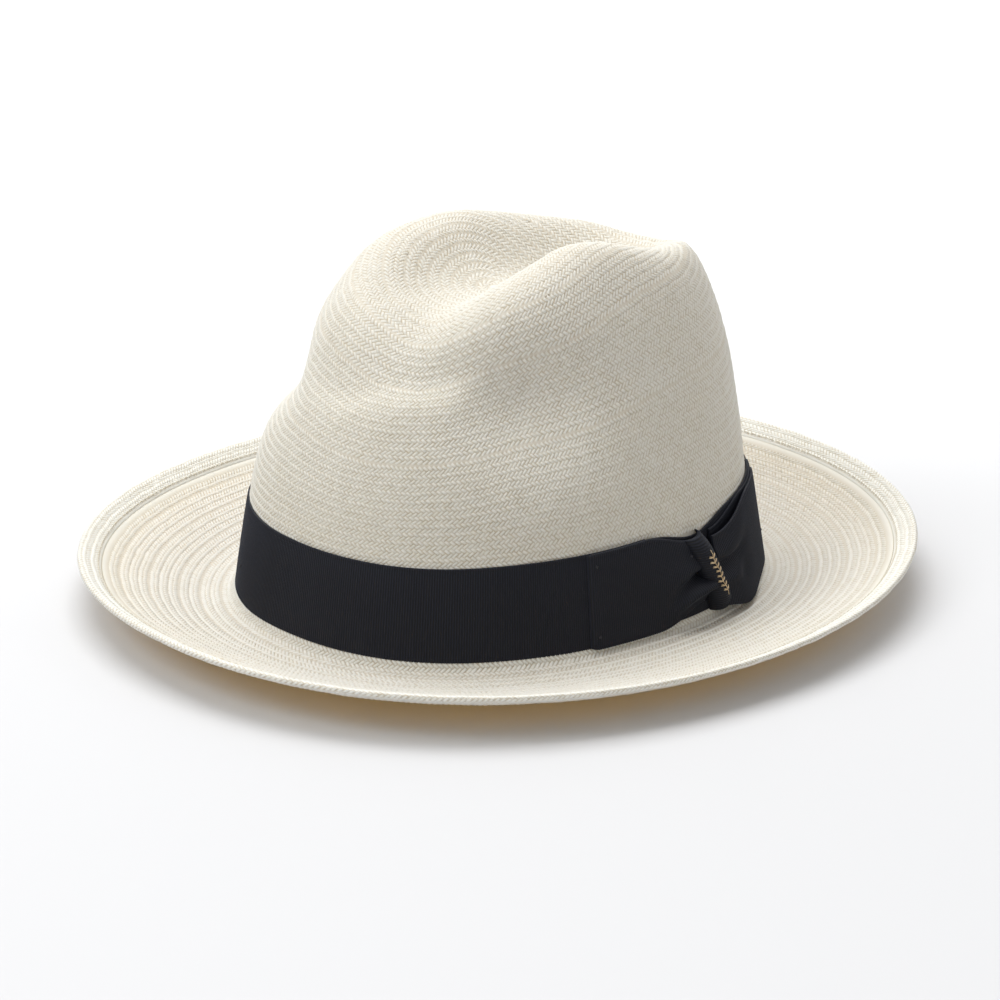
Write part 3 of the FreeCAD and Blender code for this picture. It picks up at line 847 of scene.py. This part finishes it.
def build_tacks():
    net = Net()
    spots = [(PANEL_START + 2.0, RIBBON_TOP - 4.2, 1.75), (PANEL_START + 2.0, RIBBON_BOTTOM + 4.0, 1.75),
             (KNOT_ANGLE - 7.2, RIBBON_TOP - 9.5, 4.4), (WING_END - 3.0, RIBBON_BOTTOM + 11.0, 1.7),
             (-113.0, RIBBON_TOP - 23.0, 0.35)]
    for angle, z, offset in spots:
        for turn in (0.4, 1.9, 2.9):
            path = []
            for share in (-1.0, -0.4, 0.4, 1.0):
                da = 0.42 * share * math.cos(turn)
                dz = 0.65 * share * math.sin(turn)
                rise = 0.22 * (1.0 - share * share)
                path.append(wall_point(math.radians(angle + da), z + dz, LIFT + offset + rise))
            stitch(net, path, 0.17, tint=0.5)
    return net.build("ribbon_tacks")


# ---- sweatband ----
LEATHER = 1.0
SWEAT_BOTTOM = 3.2
SWEAT_TOP = 37.0
INNER = -STRAW - 0.35


def sweat_offset(a, z):
    """The sweatband's inner face, with the slight waves that leather keeps."""
    wave = 0.22 * np.sin(5 * a + 0.09 * z) + 0.14 * np.sin(11 * a + 1.0 - 0.06 * z)
    lean = 0.9 * smooth((z - 14.0) / 26.0)
    return INNER - LEATHER - lean - np.abs(wave) * smooth((z - 6.0) / 10.0)


def build_sweatband():
    levels = [*np.linspace(SWEAT_BOTTOM, SWEAT_TOP - 0.6, 16), SWEAT_TOP - 0.35, SWEAT_TOP - 0.12]
    a, z = np.meshgrid(around(300), levels)
    face = sweat_offset(a, z) + 0.35 * bump(z, SWEAT_BOTTOM + 2.4, 1.2)
    near_top = smooth((z - SWEAT_TOP + 0.6) / 0.6)
    inner = wall_point(a, z, face + 0.35 * near_top)
    outer = wall_point(a, z, face + LEATHER - 0.35 * near_top)
    return sheet_net(outer, inner, True).build("sweatband")


def ring_tube(name, point, radius, sides, cols, wave):
    """A round roll along a closed path. point(angle, out, up) gives a place beside the path."""
    net = Net()
    a = around(cols)
    rows = []
    for k in range(sides):
        turn = math.tau * k / sides
        size = radius * (1.0 + wave * np.sin(37 * a + k) * np.sin(11 * a))
        rows.append(net.add(point(a, size * math.cos(turn), size * math.sin(turn))))
    rows.append(rows[0])
    net.grid(np.array(rows), True, flip=True)
    return net.build(name)


def build_reed():
    def point(a, out, up):
        return wall_point(a, SWEAT_BOTTOM - 1.1 + up, INNER - 0.95 + out)

    return ring_tube("sweatband_reed", point, 1.05, 12, 480, 0.03)


def build_sweat_stitching():
    net = Net()
    count = 210
    for k in range(count):
        a = math.tau * (k + np.array([0.0, 0.2, 0.45, 0.62])) / count
        rise = 0.5 * (-1.0 if k % 2 else 1.0) * np.array([-1.0, -0.4, 0.4, 1.0])
        z = SWEAT_BOTTOM + 2.4 + rise
        depth = sweat_offset(a, z) + 0.33 + np.array([0.1, -0.24, -0.24, 0.1])
        stitch(net, wall_point(a, z, depth), 0.19, tint=float(rng.uniform(0.3, 0.7)))
    return net.build("sweatband_stitching")


def inside_leaf(name, centre, half, low, high, offset, thickness, ribs):
    """A strip lying on the sweatband's inner face."""
    w = np.linspace(0.0, 1.0, 6 * ribs + 1 if ribs else 17)
    u, w = np.meshgrid(np.linspace(-1.0, 1.0, 33), w)
    angle = np.radians(centre + half * u)
    z = low + (high - low) * w
    relief = 0.05 * np.cos(math.tau * w * ribs) if ribs else 0.0
    rim = 0.12 * np.abs(u) ** 10
    face = sweat_offset(angle, z) - offset(u, w)
    over = wall_point(angle, z, face)
    under = wall_point(angle, z, face - thickness - relief + rim)
    return sheet_net(over, under, False).build(name)


def build_inside_pieces():
    tape = inside_leaf("sweatband_rear_tape", 90.0, 3.2, SWEAT_BOTTOM + 4.0, SWEAT_TOP - 0.5,
                       lambda u, w: 0.08 + 0.0 * u, 0.45, 32)
    tag = inside_leaf("size_tag", 72.0, 4.0, SWEAT_TOP - 17.0, SWEAT_TOP - 3.0,
                      lambda u, w: 0.10 + 0.5 * w ** 2 * (1.0 - 0.3 * u), 0.22, 0)
    return tape, tag


def build_small_bow():
    """Two loops, two tails and a knot of narrow ribbon, tied over the sweatband's seam."""
    net = Net()
    middle_z = SWEAT_TOP - 6.5
    turns = np.linspace(0.0, math.tau, 29)
    across = np.linspace(-1.0, 1.0, 9)

    def place(degrees, z, depth):
        a = math.radians(90.0 + degrees)
        return wall_point(a, z, float(sweat_offset(a, z)) - 0.75 - depth)

    def ribbon(line, half_width):
        over = []
        under = []
        for degrees, z, depth in line:
            over.append([place(degrees, z + half_width * c, depth + 0.16 - 0.08 * c * c) for c in across])
            under.append([place(degrees, z + half_width * c, depth - 0.16) for c in across])
        top = net.add(over)
        low = net.add(under)
        net.grid(top, False)
        net.grid(low, False, flip=True)
        for col, flip in ((0, True), (-1, False)):
            net.grid(np.array([top[:, col], low[:, col]]).T, False, flip=flip)
        for row, flip in ((0, False), (-1, True)):
            net.grid(np.array([top[row], low[row]]).T, False, flip=flip)

    for side in (-1.0, 1.0):
        ribbon([(side * (2.5 - 2.2 * math.cos(t)), middle_z + 0.3 * math.sin(0.5 * t),
                 0.75 + 0.55 * math.sin(t)) for t in turns], 1.7)
        ribbon([(side * (0.3 + 2.6 * t), middle_z - 5.5 * t * t - 1.0 * t,
                 0.1 + 0.25 * math.sin(3.0 * t)) for t in np.linspace(0.0, 1.0, 9)], 1.4)
    ribbon([(0.62 * math.cos(t), middle_z, 0.85 + 1.0 * math.sin(t)) for t in turns], 1.2)
    return net.build("sweatband_bow")


# ---- materials ----
class Paint:
    """A material's node tree, with short calls for the nodes it uses."""

    def __init__(self, name):
        self.material = bpy.data.materials.new(name)
        self.material.use_nodes = True
        self.tree = self.material.node_tree
        self.shader = self.tree.nodes["Principled BSDF"]
        self.place = self.tree.nodes.new("ShaderNodeTexCoord").outputs["Object"]

    def link(self, value, socket):
        if isinstance(value, bpy.types.NodeSocket):
            self.tree.links.new(value, socket)
        else:
            socket.default_value = value

    def node(self, kind, inputs=None):
        node = self.tree.nodes.new("ShaderNode" + kind)
        for name, value in (inputs or {}).items():
            self.link(value, node.inputs[name])
        return node

    def set(self, name, value):
        self.link(value, self.shader.inputs[name])

    def surface(self, colour, roughness, specular=0.5):
        self.set("Base Color", colour)
        self.set("Roughness", roughness)
        self.set("Specular IOR Level", specular)

    def noise(self, scale, detail=2.0, roughness=0.5):
        inputs = {"Scale": scale, "Detail": detail, "Roughness": roughness, "Vector": self.place}
        return self.node("TexNoise", inputs).outputs["Fac"]

    def dot(self, direction):
        node = self.node("VectorMath", {0: self.place, 1: direction})
        node.operation = "DOT_PRODUCT"
        return node.outputs["Value"]

    def cells(self, scale):
        node = self.node("TexVoronoi", {"Scale": scale, "Vector": self.place})
        node.feature = "SMOOTH_F1"
        return node.outputs["Distance"]

    def attribute(self, name):
        node = self.node("Attribute")
        node.attribute_name = name
        return node.outputs["Fac"]

    def ramp(self, value, stops):
        node = self.node("ValToRGB", {"Fac": value})
        while len(node.color_ramp.elements) < len(stops):
            node.color_ramp.elements.new(0.5)
        for element, (place, colour) in zip(node.color_ramp.elements, stops):
            element.position = place
            element.color = (*colour, 1.0)
        return node.outputs["Color"]

    def scale(self, value, low, high, start=0.0, end=1.0):
        inputs = {"Value": value, "From Min": start, "From Max": end, "To Min": low, "To Max": high}
        return self.node("MapRange", inputs).outputs["Result"]

    def mix(self, share, first, second):
        node = self.node("Mix")
        node.data_type = "RGBA"
        self.link(share, node.inputs[0])
        for value, socket in ((first, node.inputs[6]), (second, node.inputs[7])):
            self.link(value if isinstance(value, bpy.types.NodeSocket) else (*value, 1.0), socket)
        return node.outputs[2]

    def let_light_through(self, share, colour):
        glow = self.node("BsdfTranslucent", {"Color": (*colour, 1.0)})
        inputs = {"Fac": share, 1: self.shader.outputs["BSDF"], 2: glow.outputs["BSDF"]}
        blend = self.node("MixShader", inputs)
        self.link(blend.outputs["Shader"], self.tree.nodes["Material Output"].inputs["Surface"])

    def bump(self, heights, distance=0.0002):
        """heights: pairs of a value and its strength, one bump on top of the other."""
        normal = None
        for value, strength in heights:
            node = self.node("Bump", {"Strength": strength, "Distance": distance, "Height": value})
            if normal is not None:
                self.link(normal, node.inputs["Normal"])
            normal = node.outputs["Normal"]
        self.set("Normal", normal)


def straw_paint(name):
    p = Paint(name)
    tone = p.ramp(p.attribute("tint"), [(0.0, (0.84, 0.85, 0.79)), (0.35, (0.875, 0.89, 0.85)),
                                        (0.7, (0.895, 0.91, 0.88)), (1.0, (0.91, 0.925, 0.90))])
    fibre = p.noise(2600.0, 3.0, 0.6)
    tone = p.mix(p.scale(fibre, 0.0, 0.12, 0.35, 0.7), tone, (0.76, 0.68, 0.52))
    patch = p.noise(32.0, 2.0)
    tone = p.mix(p.scale(patch, 0.0, 0.08, 0.4, 0.7), tone, (0.82, 0.77, 0.64))
    # painted shade: where the height share is low, between strands and at the joints, the straw is darkened
    # towards brown
    depth = p.scale(p.attribute("height"), 0.80, 0.0, 0.0, 0.62)
    tone = p.mix(depth, tone, (0.46, 0.38, 0.25))
    p.surface(tone, p.scale(fibre, 0.38, 0.62), 0.35)
    p.bump([(fibre, 0.25), (p.noise(700.0), 0.15)])
    return p


def thread_material(name, dark, light, rough):
    p = Paint(name)
    twist = p.noise(3800.0, 2.0, 0.6)
    tone = p.mix(p.attribute("tint"), dark, light)
    tone = p.mix(p.scale(twist, 0.0, 0.35, 0.3, 0.7), tone, tuple(0.55 * c for c in dark))
    p.surface(tone, p.scale(twist, rough - 0.1, rough + 0.12), 0.3)
    p.bump([(twist, 0.5)])
    return p


def grosgrain_material():
    p = Paint("black_grosgrain")
    yarn = p.noise(3000.0, 3.0, 0.65)
    cloud = p.noise(45.0, 2.0)
    tone = p.ramp(yarn, [(0.30, (0.0042, 0.0055, 0.0115)), (0.55, (0.0085, 0.0105, 0.0200)),
                         (0.78, (0.019, 0.023, 0.040))])
    tone = p.mix(p.scale(cloud, 0.0, 0.30, 0.35, 0.75), tone, (0.013, 0.016, 0.029))
    # painted shade: the ribs' hollows darkened almost to black where the height share is low
    tone = p.mix(p.scale(p.attribute("height"), 0.94, 0.0, 0.1, 0.9), tone, (0.002, 0.002, 0.003))
    p.surface(tone, p.scale(yarn, 0.50, 0.74), 0.26)
    p.set("Sheen Weight", 0.06)
    p.set("Sheen Roughness", 0.45)
    p.set("Sheen Tint", (0.62, 0.66, 0.78, 1.0))
    p.bump([(yarn, 0.35), (p.noise(900.0), 0.12)])
    return p.material


def leather_material():
    p = Paint("sweatband_leather")
    grain = p.cells(1300.0)
    cloud = p.noise(60.0, 3.0)
    tone = p.ramp(cloud, [(0.3, (0.42, 0.27, 0.15)), (0.7, (0.54, 0.37, 0.22))])
    tone = p.mix(p.scale(grain, 0.35, 0.0, 0.0, 0.35), tone, (0.30, 0.18, 0.09))
    p.surface(tone, p.scale(cloud, 0.38, 0.55), 0.4)
    p.bump([(grain, 0.35), (p.noise(420.0, 3.0), 0.25)], 0.0004)
    return p.material


def paper_material():
    p = Paint("blank_tag_paper")
    pulp = p.noise(1500.0, 4.0, 0.7)
    tone = p.ramp(pulp, [(0.3, (0.74, 0.71, 0.64)), (0.7, (0.84, 0.82, 0.77))])
    p.surface(tone, p.scale(pulp, 0.68, 0.85))
    p.bump([(pulp, 0.3)])
    return p.material


# ---- the pieces ----
outer_paint = straw_paint("bleached_toquilla_straw")
outer_paint.let_light_through(0.27, (1.0, 0.83, 0.52))
straw = outer_paint.material
under_paint = straw_paint("bleached_toquilla_straw_underside")
to_the_rim = under_paint.attribute("way")
see_through = under_paint.scale(to_the_rim, 0.60, 0.12, BRIM_WIDTH - 8.0, BRIM_WIDTH)
under_paint.let_light_through(see_through, (1.0, 0.77, 0.43))
straw_under = under_paint.material
grosgrain = grosgrain_material()
leather = leather_material()
linen = thread_material("straw_coloured_thread", (0.66, 0.58, 0.43), (0.86, 0.81, 0.69), 0.6).material
black_thread = thread_material("black_thread", (0.016, 0.016, 0.022), (0.045, 0.045, 0.058), 0.5).material
gold_paint = thread_material("gold_thread", (0.55, 0.38, 0.20), (0.86, 0.70, 0.48), 0.38)
gold_paint.set("Metallic", 0.35)
paper = paper_material()


def take(obj, material, slot, *nodes):
    """Gives a piece its material and hides the CAD nodes it stands for. slot, its record slot, is not used.
    """
    obj.data.materials.append(material)
    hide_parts(*nodes)
    return obj


crown = take(build_crown(), straw, "straw", "straw_body")
take(build_crown_inside(), straw, "straw", "straw_body")
take(build_brim_top(), straw, "straw", "straw_body")
take(build_brim_under(), straw_under, "straw", "straw_body")
take(build_brim_stitching(), linen, "straw_thread", "brim_edge_stitching")
hatband = take(build_hatband(), grosgrain, "grosgrain", "hatband_ribbon")
front, wing, under_layer, knot = build_bow()
for piece, node in ((front, "bow_front_panel"), (wing, "bow_rear_wing"),
                    (under_layer, "bow_under_layer"), (knot, "bow_knot")):
    take(piece, grosgrain, "grosgrain", node)
take(build_embroidery(), gold_paint.material, "gold_thread", "knot_embroidery")
take(build_tacks(), black_thread, "dark_thread", "ribbon_tacks")
sweatband = take(build_sweatband(), leather, "sweat_leather", "sweatband")
take(build_reed(), leather, "sweat_leather", "sweatband_reed")
take(build_sweat_stitching(), linen, "straw_thread", "sweatband_stitching")
tape, tag = build_inside_pieces()
take(tape, grosgrain, "grosgrain", "sweatband_rear_tape")
take(tag, paper, "tag_paper", "size_tag")
take(build_small_bow(), grosgrain, "grosgrain", "sweatband_bow")


# ---- floor, light and camera, in metres ----
AZIMUTH = math.radians(50.0)     # the camera stands this far round from the front to the left
ELEVATION = math.radians(20.5)
ACROSS = Vector((math.cos(AZIMUTH), math.sin(AZIMUTH), 0.0))
CAMERA_TARGET = (0.0, 0.0, 0.031)
CAMERA_DISTANCE = 1.463
CAMERA_LENS = 140.1
LIGHT_TARGET = (0.0, 0.0, 0.05)
# lights: name, place, size, power, colour
LIGHTS = [("key", (-0.8, 0.25, 2.6), 2.2, 67.0, (1.0, 0.998, 0.992)),
          ("side", (-0.45, -1.5, 1.5), 0.9, 13.0, (1.0, 0.995, 0.98))]
WORLD_STRENGTH = 0.59
FLOOR_REACH = 4.0                # the floor is level this far to the front and back
FLOOR_BEND = 2.0                 # radius of the turn up into the wall
FLOOR_SIDE = 6.0
WALL_HEIGHT = 6.0


def build_floor():
    """A pale floor that turns up into a wall behind the hat. It glows more the further it lies from the
    camera: painted light that brightens the far floor and the wall.
    """
    rows = [(-FLOOR_REACH + 2.0 * FLOOR_REACH * k / 24.0, 0.0) for k in range(25)]
    for k in range(1, 13):
        turn = 0.5 * math.pi * k / 12.0
        rows.append((FLOOR_REACH + FLOOR_BEND * math.sin(turn), FLOOR_BEND - FLOOR_BEND * math.cos(turn)))
    rows.append((FLOOR_REACH + FLOOR_BEND, WALL_HEIGHT))
    away = Vector((-math.sin(AZIMUTH), math.cos(AZIMUTH), 0.0))
    points = []
    faces = []
    for distance, height in rows:
        for across in (-FLOOR_SIDE, FLOOR_SIDE):
            points.append(away * distance + ACROSS * across + Vector((0.0, 0.0, height)))
    for k in range(len(rows) - 1):
        faces.append((2 * k, 2 * k + 1, 2 * k + 3, 2 * k + 2))
    mesh = bpy.data.meshes.new("studio_floor")
    mesh.from_pydata([tuple(p) for p in points], [], faces)
    p = Paint("studio_floor")
    p.surface((0.63, 0.635, 0.65, 1.0), 0.9, 0.1)
    p.set("Emission Color", (1.0, 1.0, 1.0, 1.0))
    # painted light: emission that grows with the distance away from the camera
    p.set("Emission Strength", p.scale(p.dot(away), 0.0, 0.6, -0.05, 1.5))
    mesh.materials.append(p.material)
    put("studio_floor", mesh)


def area_light(name, place, size, power, colour):
    data = bpy.data.lights.new(name, "AREA")
    data.shape = "SQUARE"
    data.size = size
    data.energy = power
    data.color = colour
    obj = put(name, data)
    obj.location = place
    obj.rotation_euler = (Vector(LIGHT_TARGET) - Vector(place)).to_track_quat("-Z", "Y").to_euler()


def build_camera():
    back = Vector((math.sin(AZIMUTH) * math.cos(ELEVATION), -math.cos(AZIMUTH) * math.cos(ELEVATION),
                   math.sin(ELEVATION)))
    up = back.cross(ACROSS)
    data = bpy.data.cameras.new("camera")
    data.sensor_width = 36.0
    data.lens = CAMERA_LENS
    data.clip_end = 50.0
    obj = put("camera", data)
    turn = Matrix((ACROSS, up, back)).transposed()
    obj.matrix_world = Matrix.Translation(Vector(CAMERA_TARGET) + back * CAMERA_DISTANCE) @ turn.to_4x4()
    bpy.context.scene.camera = obj


def build_world():
    world = bpy.data.worlds.new("studio")
    world.use_nodes = True
    background = world.node_tree.nodes["Background"]
    background.inputs["Color"].default_value = (1.0, 0.99, 0.975, 1.0)
    background.inputs["Strength"].default_value = WORLD_STRENGTH
    bpy.context.scene.world = world
    bpy.context.scene.view_settings.view_transform = "Standard"


build_floor()
build_world()
for light in LIGHTS:
    area_light(*light)
build_camera()
